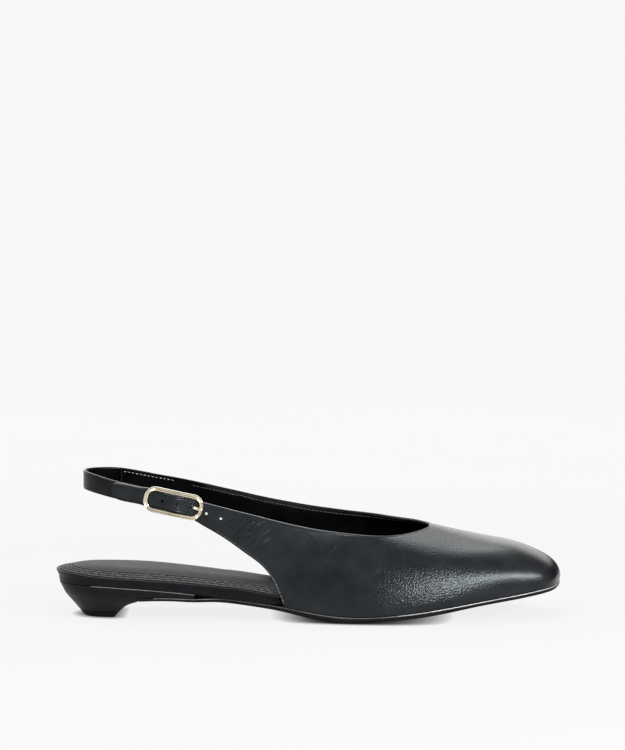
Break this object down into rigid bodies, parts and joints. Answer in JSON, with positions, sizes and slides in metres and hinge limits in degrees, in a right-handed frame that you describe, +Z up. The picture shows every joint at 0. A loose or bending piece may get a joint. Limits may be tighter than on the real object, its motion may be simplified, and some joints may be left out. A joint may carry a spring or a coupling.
{
  "type": "slingback court shoe",
  "caption": "Black leather slingback court shoe for the right foot, with a squared toe, a low tapered heel and a buckled heel strap.",
  "frame": {"origin": "on the floor under the middle of the shoe's box", "axes": "+X towards the toe, +Y towards the inner side of the foot, +Z up"},
  "size_m": [0.2565, 0.0801, 0.0734],
  "materials": {
    "leather_black": "smooth, half gloss, fine grain",
    "strap_black": "smooth, half gloss",
    "footbed_black": "smooth, half gloss",
    "insole_black": "smooth, padded, stitched round the edge",
    "heel_black": "smooth, covered",
    "sole_black": "matt",
    "tip_black": "matt",
    "pale_gold": "polished, pale gold plate"
  },
  "bodies": {
    "root": {"outsole": "sole_black", "heel": "heel_black", "heel_tip": "tip_black", "footbed": "footbed_black", "insole": "insole_black", "upper": "leather_black", "sling_strap": "strap_black", "buckle_frame": "pale_gold", "buckle_prong": "pale_gold"}
  },
  "joints": []
}
